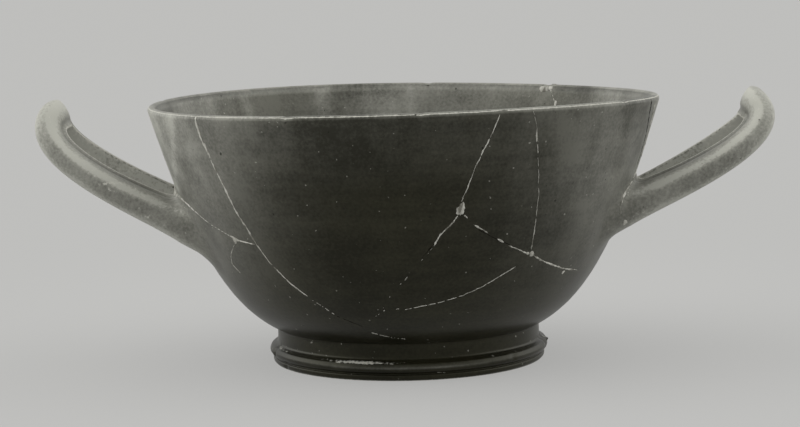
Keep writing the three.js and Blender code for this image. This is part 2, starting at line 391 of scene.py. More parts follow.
def handle_line(handle):
    """Centre points of a handle and the strip's upward direction at each, both as rows."""
    slope, tip_slope = math.radians(handle["slope"]), math.radians(handle["tip_slope"])
    root = np.array([ROOT_RADIUS, handle["root_height"]])
    tip = np.array([handle["reach"], handle["tip_height"]])
    side_view, side_along = bezier(
        root, root + handle["root_hold"] * np.array([math.cos(slope), math.sin(slope)]),
        tip - TIP_HOLD * np.array([math.cos(tip_slope), math.sin(tip_slope)]), tip,
        2 * CURVE_STEPS,
    )
    side_view, side_along = evenly(side_view, CURVE_STEPS, side_along)
    t = (1 - np.cos(np.linspace(0, math.pi, 3 * CURVE_STEPS + 1))) / 2
    outward = np.clip(np.sin(math.pi * t), 0, 1) ** LOOP_BEND
    across = np.sign(0.5 - t) * np.abs(np.cos(math.pi * t)) ** LOOP_BEND
    share = np.linspace(0, 1, CURVE_STEPS + 1)
    x, z = (np.interp(outward, share, column) for column in side_view.T)
    lift = handle["side"] * across * (
        handle["bend_twist"] * outward - handle["root_lift"] * (1 - outward))
    centre = np.stack([x, across * handle["half_span"], z + lift], axis=1)
    lean = np.unwrap(np.arctan2(side_along[:, 1], side_along[:, 0]))
    lean = np.interp(outward, share, np.interp(lean, TIP_TURN[0], TIP_TURN[1]))
    upward = np.stack([-np.sin(lean), 0 * lean, np.cos(lean)], axis=1)
    return evenly(centre, HANDLE_RINGS, upward, outward[:, None])


def handle_section():
    """Outline of the strip, as shares of half its width (inward) and thickness (upward)."""
    angle = np.linspace(0, 2 * math.pi, SECTION_STEPS + 1)
    inward, upward = np.cos(angle), np.sin(angle)
    inner_bend = np.where(upward > 0, SECTION_BEND["ridge"], SECTION_BEND["inner"])
    bend = np.where(inward > 0, inner_bend, SECTION_BEND["outer"])
    shape = np.stack([
        np.sign(inward) * np.abs(inward) ** (2 / bend),
        np.sign(upward) * np.abs(upward) ** (2 / bend),
    ], axis=1)
    shape, = evenly(shape, HANDLE_SIDES)
    return shape[:-1]


def handle_body(name, handle):
    """The strip as a closed solid, with the place of every point on it."""
    centre, upward, outward = handle_line(handle)
    along = np.gradient(centre, axis=0)
    along /= np.linalg.norm(along, axis=1)[:, None]
    inward = np.cross(upward, along)
    inward /= np.linalg.norm(inward, axis=1)[:, None]
    middle = np.array([
        handle["reach"] - LOOP_MIDDLE[0], 0, handle["tip_height"] - LOOP_MIDDLE[1]])
    if np.sum(inward[HANDLE_RINGS // 2] * (middle - centre[HANDLE_RINGS // 2])) < 0:
        inward = -inward
    from_axis = np.hypot(centre[:, 0], centre[:, 1])
    flare = np.exp(-np.maximum(0, from_axis - ROOT_FLARE["start"]) / ROOT_FLARE["length"])
    width = HANDLE_HALF_WIDTH + ROOT_FLARE["width"] * flare
    thickness = np.interp(outward[:, 0], (0, 1), HANDLE_HALF_THICKNESS)
    thickness = thickness + ROOT_FLARE["thickness"] * flare
    section = handle_section()
    on_top = np.clip(section[:, 1], 0, 1)
    hollow = RIDGE_HOLLOW["depth"] * on_top ** 2 * np.exp(
        -((section[:, 0] - RIDGE_HOLLOW["place"]) / RIDGE_HOLLOW["width"]) ** 2)
    hollow = hollow + TOP_FALL * on_top * (RIDGE - section[:, 0]).clip(0) / (1 + RIDGE)
    rings = (
        centre[:, None]
        + inward[:, None] * (section[None, :, :1] * width[:, None, None])
        + upward[:, None] * (section[None, :, 1:] * thickness[:, None, None])
        - upward[:, None] * hollow[None, :, None]
    )
    rings = np.concatenate([
        rings[:1] - along[0] * ROOT_BURIED, rings, rings[-1:] + along[-1] * ROOT_BURIED,
    ])
    rings[..., :2] *= handle["side"]
    count, sides = rings.shape[:2]
    faces = [(i * sides + k, i * sides + (k + 1) % sides,
              (i + 1) * sides + (k + 1) % sides, (i + 1) * sides + k)
             for i in range(count - 1) for k in range(sides)]
    faces += [tuple(range(sides)), tuple(range((count - 1) * sides, count * sides))]
    mesh = bpy.data.meshes.new(name)
    mesh.from_pydata([tuple(place) for place in rings.reshape(-1, 3)], [], faces)
    mesh.materials.append(glaze)
    face_outwards(mesh)
    made = placed(name, mesh)
    places = KDTree(rings.size // 3)
    for i, place in enumerate(rings.reshape(-1, 3)):
        places.insert(place, i)
    places.balance()
    share = np.concatenate([outward[:1], outward, outward[-1:]])
    on_strip = [(*section[i % sides], share[i // sides, 0]) for i in range(count * sides)]
    return made, places, on_strip


def cut_or_join(target, tool, operation):
    """Boolean of two closed bodies, kept in target's mesh."""
    modifier = target.modifiers.new("join", "BOOLEAN")
    modifier.object = tool
    modifier.operation = operation
    modifier.solver = "EXACT"
    graph = bpy.context.evaluated_depsgraph_get()
    mesh = bpy.data.meshes.new_from_object(target.evaluated_get(graph), depsgraph=graph)
    target.modifiers.remove(modifier)
    target.data = mesh


def surface_tree(body):
    """Nearest-point tree of a body's faces."""
    mesh = body.data
    return BVHTree.FromPolygons(
        [v.co.copy() for v in mesh.vertices], [tuple(p.vertices) for p in mesh.polygons])


def signed_distance(tree, place):
    """How far a place is outside a surface, and the way out."""
    near, normal, _, distance = tree.find_nearest(place)
    if distance < TOUCHING:
        return distance, normal
    away = (place - near) / distance
    return (distance, away) if away.dot(normal) > 0 else (-distance, -away)


def smeared(place, wall, strip):
    """Where a place on the joined surface comes to lie when clay fills the corner."""
    for _ in range(SMEAR_TRIES):
        wall_gap, wall_away = signed_distance(wall, place)
        strip_gap, strip_away = signed_distance(strip, place)
        short = SMEAR - abs(wall_gap - strip_gap)
        if short <= 0:
            return place, 0.0
        share = short / (2 * SMEAR)
        if wall_gap > strip_gap:
            wall_away, strip_away = strip_away, wall_away
        away = wall_away * (1 - share) + strip_away * share
        value = min(wall_gap, strip_gap) - short * short / (4 * SMEAR)
        place = place - away * (value / max(away.length_squared, SMEAR_CREASE))
    return place, short / SMEAR


wall_curve = bowl_outside(WALL_STEPS)[0]


def outer_radius(height):
    """Radius of the outside of the bowl at a height."""
    return float(np.interp(height, wall_curve[:, 1], wall_curve[:, 0]))


def smear_root(body, wall, strip, side):
    """Fill the corner between one handle and the wall, then even out the points there."""
    work = bmesh.new()
    work.from_mesh(body.data)

    def in_zone(place):
        """Whether a place is on the outside near this handle's roots."""
        if place.x * side < ROOT_ZONE["out"] or abs(place.y) > ROOT_ZONE["across"]:
            return False
        if not ROOT_ZONE["low"] < place.z < ROOT_ZONE["high"]:
            return False
        if math.hypot(place.x, place.y) < outer_radius(place.z) - ROOT_ZONE["deep"]:
            return False
        gaps = [abs(signed_distance(tree, place)[0]) for tree in (wall, strip)]
        return sum(gaps) < ROOT_REACH

    zone = [v for v in work.verts if in_zone(v.co)]
    bmesh.ops.remove_doubles(work, verts=zone, dist=ROOT_ZONE["merge"])
    zone = [v for v in zone if v.is_valid]
    faces = {face for v in zone for face in v.link_faces if len(face.verts) > 4}
    bmesh.ops.triangulate(work, faces=list(faces))
    amount = {}
    for v in zone:
        v.co, amount[v] = smeared(v.co, wall, strip)
    for _ in range(SMEAR_ROUNDS):
        moved = {}
        for v in zone:
            if amount[v] > 0:
                ring = [e.other_vert(v).co for e in v.link_edges]
                pull = SMEAR_PULL * min(1, SMEAR_GROWTH * amount[v])
                moved[v] = v.co.lerp(sum(ring, Vector()) / len(ring), pull)
        for v, place in moved.items():
            v.co = smeared(place, wall, strip)[0]
    work.to_mesh(body.data)
    work.free()


# The core takes away what of a handle would stand inside the bowl.
core_outline = np.concatenate([
    [(0, CORE["bottom"])],
    [(r - CORE["inset"], z) for r, z in bowl_outside(CORE["steps"])[0] if z > CORE["bottom"]],
    [(RIM_RADIUS - CORE["inset"], CORE["top"]), (0, CORE["top"])],
])
core = turned("core", core_outline, TURNS // 2, marks=0.0)
wall_tree = surface_tree(cup)
strips = []
for handle in HANDLES:
    body, places, on_strip = handle_body("handle", handle)
    strip_tree = surface_tree(body)
    cut_or_join(body, core, "DIFFERENCE")
    cut_or_join(cup, body, "UNION")
    smear_root(cup, wall_tree, strip_tree, handle["side"])
    strips.append((places, on_strip))
    bpy.data.objects.remove(body)
bpy.data.objects.remove(core)

for face in cup.data.polygons:
    face.use_smooth = True
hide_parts("kylix_cup")
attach(cup, "root")

# ---------------------------------------------------------------- breaks and chips
# The cup was broken into sherds and put together again. The joins are not quite level, so
# one side of a join stands a little over the other, and small chips are lost from the lip
# and from the moulding of the foot.

STEP_FADE = 7 * MM               # how far from a join its step dies away
STEP_END = 6 * MM                # it starts from nothing over this height at the lower end
# Each join has a step in mm and its points of bearing (degrees, the front at -90) and
# height (mm). The wall to the right of it, as seen from outside, stands out by the step.
STEPS = (
    (0.22, ((-136, 84), (-137, 78), (-134, 62), (-130, 47), (-126, 38), (-114, 23))),
    (-0.20, ((-67, 84), (-70, 76), (-74, 60), (-76, 51), (-81, 44), (-93, 28))),
    (0.14, ((-60, 84), (-59, 74), (-55, 57), (-54, 40), (-63, 31), (-84, 25))),
    (0.16, ((-16, 84), (-13, 76), (-7, 62), (-9, 57))),
    (0.16, ((52, 84), (50, 72), (54, 61), (72, 45), (104, 33))),
    (-0.18, ((114, 84), (117, 70), (109, 46), (104, 33), (96, 22))),
)
CHIPS = (                        # bearing, height, reach and depth; below 0 it is a lump
    (0, 4.2, 1.1, 1.1), (-2, 5.9, 1.1, -0.7), (-9, 5.0, 1.6, 0.4), (-161, 4.6, 1.8, 0.5),
    (-168, 2.9, 1.4, 0.35), (-150, 1.6, 1.4, 0.3), (-41, 4.5, 1.2, 0.3), (17, 4.3, 2.0, 0.5),
    (93, 4.6, 1.5, 0.4), (-112, 82, 1.2, 0.25), (-84, 82.3, 0.9, 0.2), (-33, 82.2, 1.4, 0.3),
    (86, 82.4, 0.9, 0.45), (53, 82.4, 1.2, 0.4), (171, 82.4, 1.6, 0.3),
)
LIP_CHIPS = 81 * MM              # chips above this height take the top off the lip
CHIP_EDGE = {"depth": 0.35, "height": 0.5 * MM, "waves": 60}   # how ragged a chip is


def step_shift(bearing, height, step, line):
    """How far out a step moves each place of the wall, from its bearing and height."""
    corners = np.array([(math.radians(b) * RIM_RADIUS, h * MM) for b, h in line])
    x, y = bearing * RIM_RADIUS, height
    nearest = np.full(len(x), math.inf)
    side = np.zeros(len(x))
    for start, end in zip(corners, corners[1:]):
        along = end - start
        share = ((x - start[0]) * along[0] + (y - start[1]) * along[1]) / (along @ along)
        share = np.clip(share, 0, 1)
        dx, dy = x - start[0] - share * along[0], y - start[1] - share * along[1]
        away = np.hypot(dx, dy)
        closer = away < nearest
        nearest = np.where(closer, away, nearest)
        side = np.where(closer, np.sign(along[0] * dy - along[1] * dx), side)
    ends = np.clip((y - corners[-1][1]) / STEP_END, 0, 1)
    return 0.5 * step * MM * side * np.exp(-nearest / STEP_FADE) * ends


def sherd_steps(mesh):
    """Push the wall in and out at the joins, and take the chips away."""
    place = np.zeros(len(mesh.vertices) * 3)
    mesh.vertices.foreach_get("co", place)
    place = place.reshape(-1, 3)
    radius = np.hypot(place[:, 0], place[:, 1])
    bearing = np.arctan2(place[:, 1], place[:, 0])
    out = place * (1, 1, 0) / np.maximum(radius, MM)[:, None]
    on_wall = radius < np.interp(place[:, 2], wall_curve[:, 1], wall_curve[:, 0]) + 1 * MM
    shift = np.zeros(len(place))
    for step, line in STEPS:
        shift += step_shift(bearing, place[:, 2], step, line) * on_wall
    for chip_bearing, height, reach, depth in CHIPS:
        turn = (bearing - math.radians(chip_bearing) + math.pi) % (2 * math.pi) - math.pi
        away = np.hypot(turn * radius, place[:, 2] - height * MM) / (reach * MM)
        ragged = 1 + CHIP_EDGE["depth"] * np.sin(
            place[:, 2] / CHIP_EDGE["height"] + bearing * CHIP_EDGE["waves"])
        lost = depth * MM * np.exp(-(away ** 4)) * ragged * (radius > 0.5 * BASE_RADIUS)
        if height * MM > LIP_CHIPS:
            place[:, 2] -= lost
        else:
            shift -= lost
    place += out * shift[:, None]
    mesh.vertices.foreach_set("co", place.ravel())
    mesh.update()


sherd_steps(cup.data)

# ---------------------------------------------------------------- black gloss
# The whole cup was brushed on the wheel with a fine clay slip that fired to a satin black
# with an olive tinge. Use has worn it off the lip and the ridges of the handles, and a dull
# grey film lies on it, thickest on the handles, towards them on the wall, and inside. The
# wear and the film also carry painted light: painted sheen on the sides of the wall and
# inside, painted highlights on the lip, the handles and the foot, and painted shade in the
# hollow beside each handle's ridge.

BAND_STRETCH = (1, 1, 9)         # bands run round the cup
DRIP_STRETCH = (4, 4, 0.5)       # and drips down it
SPECK_WOBBLE = 0.35              # how ragged specks are
SPECK_FINER = 3.0                # and how much finer than a speck that is
SPECK_LEAST = 0.35               # the smallest speck, as a share of the size given
SPECK_EDGE = 0.3
GLAZE = {"dark": (0.0060, 0.0056, 0.0025, 1), "thin": (0.020, 0.019, 0.0108, 1)}
GLOSS_TINT = (1.0, 0.99, 0.80, 1)
# The clay colour also paints highlights, and the film colour also paints sheen.
CLAY_AND_HIGHLIGHT_COLOUR = (0.47, 0.465, 0.42, 1)
FILM_AND_LIGHT_COLOUR = (0.39, 0.39, 0.352, 1)
# Painted shade in the pits.
PIT_SHADE_COLOUR = (0.006, 0.006, 0.004, 1)
WORN_SPOTS = (                   # bearing, height and reach of each rubbed or flaked place
    (-3, 5.7, 1.1), (-9, 43, 2.0), (-12, 40, 1.0), (-38, 31, 1.0), (-167, 64.5, 1.2),
    (-166.6, 62.5, 1.4), (-166, 59.3, 1.1), (-165.5, 57.2, 1.0), (-162.7, 48.8, 1.1),
    (-165.7, 65, 0.7), (-165.6, 62.5, 0.8), (171, 60, 2.5), (20, 35, 2.0), (96, 58, 1.5),
)
SPOT_WEAR = 0.5                  # how worn the middle of such a place is
FOOT_WEAR_AND_HIGHLIGHT_LINES = (                 # height of each pale line round the foot, wear and at the front a painted highlight, its depth, the bearing where it is plainest and how far round it goes
    (5.6, 0.7, -108, 19),        # the bearing where it is plainest and how far round it goes
    (5.8, 0.46, -155, 14), (5.6, 0.5, 60, 25), (1.7, 0.44, 130, 30),
)
FOOT_LINE_WIDTH = 0.45              # half width of such a line
# A fainter pale line in the film colour round the widest part of the moulding.
FOOT_PALE_LINE = {"height": 4.1, "spread": 0.35, "bearing": -92, "reach": 40, "strength": 0.3}
RESTING_WEAR = 0.9               # under the foot
# Film and painted sheen on the wall. Side film, with painted reflection of the side light,
# grows towards the handles, more to the left, from one height over the next stretch, and the
# wall is paler near the lip, again more to the left.
SIDE_FILM_AND_SHEEN = {"least": 0.01, "strength": 0.93, "lean": 0.17, "from": 14, "over": 46, "bend": 1.4}
LIP_PALING = {"strength": 0.13, "lean": 0.104, "from": 60, "over": 20}
INSIDE_FILM_AND_SHEEN = (                  # bearing, spread and strength of each paler part of the inside, film and painted sheen
    (80, 30, 0.34), (99, 7, 0.34), (158, 15, 0.5), (27, 11, 0.3), (137, 1.7, 0.3),
    (114, 2.2, 0.34), (90, 1.4, 0.2),
)
INSIDE_HIGH = 0.27               # film and painted sheen in the upper part of the inside, between those parts
INSIDE_LOW = 0.4                 # and in the lower part
INSIDE_TURN = (38, 34)           # it turns from one to the other from here, over this height
INSIDE_LIP = (72, 9)             # and is at its full strength past this height
BELOW_LIP = 0.8                  # with this share of it below
# A painted highlight: a pale streak on the wall above the front root of the left handle, at these
# heights and bearings.
ROOT_HIGHLIGHT = {"heights": (58, 69, 80), "bearings": (-162.8, -153, -146.6), "spread": 1.7,
               "from": 56, "strength": 0.4}
# The lip's pale edge is wear and a painted highlight, with film and painted sheen on its top.
LIP_WEAR_AND_HIGHLIGHT = {"strength": 0.85, "tightness": 80, "film": 0.6, "depth": 2.2 * MM}
# Parts of a handle's section, each with its place and reach as shares of half the width
# (inward) and half the thickness (upward).
STRIP_PARTS = {
    "shoulder": ((-0.62, 0.72), (0.34, 0.30)),
    "underside": ((-0.5, -0.9), (0.5, 0.3)),
    "hollow": ((0.45, 1.0), (0.32, 0.3)),
    "ridge": ((0.92, 0.94), (0.17, 0.15)),
    "outer edge": ((-0.8, -0.6), (0.3, 0.3)),
}
# Film on a handle is partly real film and partly painted reflection. It carries a painted highlight
# on the shoulder, and painted shade in the hollow beside the ridge, where it is taken away. Wear on
# the ridge and the shoulder is partly a painted highlight.
STRIP_FILM_AND_LIGHT = {"everywhere": 0.72, "shoulder": 1.2, "inner face": 0.9, "bend": 0.3,
              "underside": 0.8, "hollow": -0.4}
STRIP_WEAR_AND_HIGHLIGHT = {"ridge": 0.9, "shoulder": 0.38, "outer edge": 0.27, "inner face": 0.38}
INNER_FACE = {"from": 0.8, "over": 0.15, "below": 0.8, "growth": 1.5}
OFF_WALL = 0.6 * MM              # what stands out further than this is a handle
STRIP_BLEND = 9 * MM             # its finish fades into the wall's over this distance
WALL_DEPTH = 1.5 * MM            # what lies deeper than this is the inside of the bowl
# Heights in mm.
HANDLE_LOW = 20                  # the handles are all above this
INSIDE_FLOOR = 12                # the inside of the bowl is all above this
FOOT_TOP = 11
TABLE_TOP = 0.2                  # what is lower than this rests on the table


def near(inward, upward, place, reach):
    """1 at a place on a handle's section, and less away from it."""
    away = ((inward - place[0]) / reach[0]) ** 2 + ((upward - place[1]) / reach[1]) ** 2
    return math.exp(-away)


def ramp(value, start, length):
    """0 up to start, rising evenly to 1 over the length after it."""
    return min(1, max(0, value - start) / length)


def wall_film_and_sheen(bearing, height):
    """Film and painted sheen on the outside of the bowl at a bearing in degrees and a height in mm.
    """
    toward = math.cos(math.radians(bearing))
    # Side film with painted reflection of the side light, stronger on the left.
    side = (SIDE_FILM_AND_SHEEN["strength"] - SIDE_FILM_AND_SHEEN["lean"] * toward) * abs(toward) ** 3
    side *= ramp(height, SIDE_FILM_AND_SHEEN["from"], SIDE_FILM_AND_SHEEN["over"]) ** SIDE_FILM_AND_SHEEN["bend"]
    # The wall is paler near the lip, more to the left.
    paling = LIP_PALING["strength"] - LIP_PALING["lean"] * toward
    film = SIDE_FILM_AND_SHEEN["least"] + side + paling * ramp(height, LIP_PALING["from"], LIP_PALING["over"])
    # Painted highlight streak above the left handle's front root.
    if height > ROOT_HIGHLIGHT["from"]:
        middle = np.interp(height, ROOT_HIGHLIGHT["heights"], ROOT_HIGHLIGHT["bearings"])
        away = (bearing - middle) / ROOT_HIGHLIGHT["spread"]
        film += ROOT_HIGHLIGHT["strength"] * math.exp(-away * away)
    return film


def strip_finish_and_light(inward, upward, outward):
    """Wear and film at a place on a handle's section, outward along it to the bend, with their
    painted highlights and painted shade.
    """
    at = {part: near(inward, upward, *spot) for part, spot in STRIP_PARTS.items()}
    at["everywhere"] = 1
    at["bend"] = outward ** 4
    at["inner face"] = ramp(inward, INNER_FACE["from"], INNER_FACE["over"])
    at["inner face"] *= upward < INNER_FACE["below"]
    film = sum(strength * at[part] for part, strength in STRIP_FILM_AND_LIGHT.items())
    at["inner face"] *= min(1, INNER_FACE["growth"] * outward)
    return max(strength * at[part] for part, strength in STRIP_WEAR_AND_HIGHLIGHT.items()), film


def inside_film_and_sheen(bearing, height):
    """Film and painted sheen on the inside of the bowl at a bearing in degrees and a height in mm.
    """
    film = INSIDE_HIGH + sum(
        strength * math.exp(-((bearing - middle) / spread) ** 2)
        for middle, spread, strength in INSIDE_FILM_AND_SHEEN)
    film *= BELOW_LIP + (1 - BELOW_LIP) * ramp(height, *INSIDE_LIP)
    return INSIDE_LOW + (film - INSIDE_LOW) * ramp(height, *INSIDE_TURN)


def foot_wear_and_highlights(bearing, height):
    """Wear and painted highlights round the mouldings of the foot, and a fainter pale line."""
    away = ((height - FOOT_PALE_LINE["height"]) / FOOT_PALE_LINE["spread"]) ** 2
    away += ((bearing - FOOT_PALE_LINE["bearing"]) / FOOT_PALE_LINE["reach"]) ** 2
    wear_and_highlight = sum(
        depth * math.exp(-((bearing - middle) / spread) ** 2 - ((height - line) / FOOT_LINE_WIDTH) ** 2)
        for line, depth, middle, spread in FOOT_WEAR_AND_HIGHLIGHT_LINES)
    return wear_and_highlight, FOOT_PALE_LINE["strength"] * math.exp(-away)


def wear_film_and_light(place, out):
    """How far the gloss is worn at a place, with painted highlights, how much film and painted sheen
    is on it, and how even that is.
    """
    bearing = math.degrees(math.atan2(place.y, place.x))
    radius = math.hypot(place.x, place.y)
    height = place.z / MM
    wall = outer_radius(place.z)
    wear_and_highlight = even = 0.0
    # Outside: film, painted sheen at the sides, and paler near the lip.
    film = wall_film_and_sheen(bearing, height)
    if radius > wall + OFF_WALL and height > HANDLE_LOW:
        places, on_strip = strips[0 if place.x > 0 else 1]
        # Handle: film with a painted highlight and painted shade, wear with a painted highlight.
        wear_and_highlight, strip_film_and_light = strip_finish_and_light(*on_strip[places.find(place)[1]])
        even = min(1, (radius - wall) / STRIP_BLEND)
        film += (strip_film_and_light - film) * even
    elif radius < wall - WALL_DEPTH and height > INSIDE_FLOOR:
        # Inside: film and painted sheen, with narrow painted streaks of light.
        film = inside_film_and_sheen(bearing, height)
    elif height < TABLE_TOP:
        wear_and_highlight = RESTING_WEAR
    elif height < FOOT_TOP:
        # Foot: lines of wear and painted highlight, and a fainter pale line.
        wear_and_highlight, film = foot_wear_and_highlights(bearing, height)
    # Lip: wear and a painted highlight on its edge, film and painted sheen on its top.
    if radius < wall + OFF_WALL and place.z > RIM_HEIGHT - LIP_WEAR_AND_HIGHLIGHT["depth"]:
        outer = out.dot(Vector((place.x / radius, place.y / radius, 1)).normalized())
        wear_and_highlight = LIP_WEAR_AND_HIGHLIGHT["strength"] * max(0, outer) ** LIP_WEAR_AND_HIGHLIGHT["tightness"]
        film += (LIP_WEAR_AND_HIGHLIGHT["film"] - film) * max(0, out.z)
    for spot_bearing, spot_height, reach in WORN_SPOTS:
        turn = math.radians((bearing - spot_bearing + 180) % 360 - 180) * radius
        away = math.hypot(turn, place.z - spot_height * MM) / (reach * MM)
        wear_and_highlight = max(wear_and_highlight, SPOT_WEAR * math.exp(-away * away))
    return wear_and_highlight, film, even


painted = [wear_film_and_light(v.co, v.normal) for v in cup.data.vertices]
for label, column in (("wear_and_highlight", 0), ("film", 1), ("even", 2)):
    layer = cup.data.attributes.new(label, "FLOAT", "POINT")
    layer.data.foreach_set("value", [row[column] for row in painted])


def between(tree, value, low, high):
    """0 below low, 1 above high, and an even ramp between."""
    return add(tree, "ShaderNodeMapRange", {
        "Value": value, "From Min": low, "From Max": high}).outputs[0]


def mix_colour(tree, share, first, second):
    """A blend of two colours or colour sockets."""
    sockets = {0: share, 6: first, 7: second}
    return add(tree, "ShaderNodeMix", sockets, data_type="RGBA").outputs[2]


def summed(tree, values, shares, start=None):
    """The named values, each times its share, added up."""
    total = start
    for label, share in shares.items():
        part = math_node(tree, "MULTIPLY", values[label], share)
        total = part if total is None else math_node(tree, "ADD", total, part)
    return total


def streak_group():
    """Uneven brushing and fine grain: broad clouds, bands round the wheel, and grain."""
    tree, given, result = new_tree("streaks_and_grain", "ShaderNodeTree", {
        "Cloud Scale": "Float", "Band Scale": "Float", "Grain Scale": "Float",
    }, {"Clouds": "Float", "Bands": "Float", "Grain": "Float", "Drips": "Float"})
    place = add(tree, "ShaderNodeTexCoord").outputs["Object"]
    flat = vector_node(tree, "MULTIPLY", place, BAND_STRETCH)
    tall = vector_node(tree, "MULTIPLY", place, DRIP_STRETCH)
    for label, at, scale, detail in (("Clouds", place, "Cloud Scale", 5.0),
                                     ("Bands", flat, "Band Scale", 5.0),
                                     ("Drips", tall, "Cloud Scale", 3.0),
                                     ("Grain", place, "Grain Scale", 3.0)):
        made = add(tree, "ShaderNodeTexNoise", {
            "Vector": at, "Scale": given[scale], "Detail": detail, "Roughness": 0.6})
        tree.links.new(made.outputs[0], result[label])
    return tree


def speck_group():
    """Small ragged specks scattered thinly: 1 inside a speck and 0 outside."""
    tree, given, result = new_tree("specks", "ShaderNodeTree", {
        "Scale": "Float", "Size": "Float", "Share": "Float",
    }, {"Mask": "Float"})
    place = add(tree, "ShaderNodeTexCoord").outputs["Object"]
    finer = math_node(tree, "MULTIPLY", given["Scale"], SPECK_FINER)
    wobble = add(tree, "ShaderNodeTexNoise", {"Vector": place, "Scale": finer, "Detail": 2.0})
    wobble = vector_node(tree, "SUBTRACT", wobble.outputs[1], (0.5, 0.5, 0.5))
    shift = math_node(tree, "DIVIDE", SPECK_WOBBLE, given["Scale"])
    place = vector_node(tree, "ADD", place, vector_node(tree, "SCALE", wobble, shift))
    cell = add(tree, "ShaderNodeTexVoronoi", {"Vector": place, "Scale": given["Scale"]})
    lot = add(tree, "ShaderNodeSeparateColor", {0: cell.outputs["Color"]}).outputs
    chosen = math_node(tree, "LESS_THAN", lot[0], given["Share"])
    size = math_node(tree, "ADD", lot[1], SPECK_LEAST)
    size = math_node(tree, "MULTIPLY", given["Size"], size)
    far = math_node(tree, "DIVIDE", cell.outputs["Distance"], size)
    inside = between(tree, math_node(tree, "SUBTRACT", 1.0, far), 0.0, SPECK_EDGE)
    tree.links.new(math_node(tree, "MULTIPLY", inside, chosen), result["Mask"])
    return tree


streaks = streak_group()
specks = speck_group()

# How much each pattern shows in the slip, the film with its painted light, the bare clay with its
# painted highlights, the gloss and the relief.
SLIP_PATTERN = {"clouds": 0.6, "bands": 0.4, "speckle": 0.45}
SLIP_THINS = (0.40, 0.66)        # where the slip turns from dark to thin
FILM_PATTERN = {"clouds": 0.62, "drips": 0.25, "bands": 0.13}
FILM_GRAIN = {"speckle": 0.25}
FILM_BREAKS = (0.38, 0.60)       # where the film turns from thin to full
FILM_LEAST = 0.35                # film in the gaps of the pattern
FILM_COVER = 0.75
EVEN_FILM = 0.52                 # the pattern's level on the handles, where it is evened out
EVEN_SHARE = 0.55
WORN_THROUGH = (0.42, 0.62)      # where wear and painted highlight reach the clay colour
WORN_CLEAN = (0.50, 0.75)        # past this the edge of a worn place and of a painted highlight isn't ragged
RAGGED_WEAR = 1.2
FLECKS = {"flecks": 0.4, "large flecks": 0.35}
ROUGHNESS = 0.27
ROUGHER = {"bands": 0.12, "film": 0.2, "bare": 0.4}
RELIEF = {"bands": 0.8, "grain": 0.25, "bare": -0.4, "pits": -0.8}
PIT_SHADE = 0.8


def speckled(tree, **amounts):
    """A mask of specks: how many there are to a metre, how big, and how many are kept."""
    return add(tree, "ShaderNodeGroup", amounts, node_tree=specks).outputs[0]


nodes = glaze.node_tree
gloss = nodes.nodes["Principled BSDF"].inputs
gloss["Specular IOR Level"].default_value = 0.22
gloss["Specular Tint"].default_value = GLOSS_TINT
pattern = add(nodes, "ShaderNodeGroup", {
    "Cloud Scale": 30.0, "Band Scale": 34.0, "Grain Scale": 1100.0,
}, node_tree=streaks).outputs
seen = {label.lower(): pattern[label] for label in ("Clouds", "Bands", "Grain", "Drips")}
seen["speckle"] = math_node(nodes, "SUBTRACT", seen["grain"], 0.5)
seen["flecks"] = speckled(nodes, Scale=420.0, Size=0.11, Share=0.34)
seen["large flecks"] = speckled(nodes, Scale=210.0, Size=0.08, Share=0.16)
seen["pits"] = speckled(nodes, Scale=330.0, Size=0.12, Share=0.25)
wear_and_highlight, film, even = (
    add(nodes, "ShaderNodeAttribute", attribute_name=label).outputs["Fac"]
    for label in ("wear_and_highlight", "film", "even"))

slip = between(nodes, summed(nodes, seen, SLIP_PATTERN), *SLIP_THINS)
colour = mix_colour(nodes, slip, GLAZE["dark"], GLAZE["thin"])

cloudy = add(nodes, "ShaderNodeMix", {
    "Factor": math_node(nodes, "MULTIPLY", even, EVEN_SHARE),
    "A": summed(nodes, seen, FILM_PATTERN), "B": EVEN_FILM,
}, data_type="FLOAT").outputs[0]
cloudy = between(nodes, summed(nodes, seen, FILM_GRAIN, cloudy), *FILM_BREAKS)
film_and_light_cover = math_node(nodes, "MULTIPLY", film, math_node(nodes, "ADD", FILM_LEAST, cloudy))
film_and_light_cover = math_node(nodes, "MINIMUM", math_node(nodes, "MULTIPLY", film_and_light_cover, FILM_COVER), 1.0)
seen["film"] = film_and_light_cover
# The film colour also lays painted sheen and highlights on the wall, inside and handles, and leaves
# painted shade where it is held back.
colour = mix_colour(nodes, film_and_light_cover, colour, FILM_AND_LIGHT_COLOUR)

ragged = math_node(nodes, "SUBTRACT", RAGGED_WEAR, between(nodes, wear_and_highlight, *WORN_CLEAN))
rubbed_and_highlit = math_node(nodes, "ADD", wear_and_highlight, math_node(nodes, "MULTIPLY", seen["speckle"], ragged))
bare = summed(nodes, seen, FLECKS, between(nodes, rubbed_and_highlit, *WORN_THROUGH))
bare = math_node(nodes, "MINIMUM", bare, 1.0)
seen["bare"] = bare
# The clay colour also lays painted highlights on the lip, the handles and the foot.
colour = mix_colour(nodes, bare, colour, CLAY_AND_HIGHLIGHT_COLOUR)
# Painted shade darkens the pits.
pitted = math_node(nodes, "MULTIPLY", seen["pits"], PIT_SHADE)
nodes.links.new(mix_colour(nodes, pitted, colour, PIT_SHADE_COLOUR), gloss["Base Color"])
nodes.links.new(summed(nodes, seen, ROUGHER, ROUGHNESS), gloss["Roughness"])
relief = add(nodes, "ShaderNodeBump", {
    "Strength": 0.4, "Distance": 0.1 * MM, "Height": summed(nodes, seen, RELIEF),
})
nodes.links.new(relief.outputs[0], gloss["Normal"])

# ---------------------------------------------------------------- plaster mends
# The joins between the sherds are filled with pale plaster, thick in some places and lost
# from others, that stands a little proud. Lumps of it fill the places where pieces of the
# wall are lost.

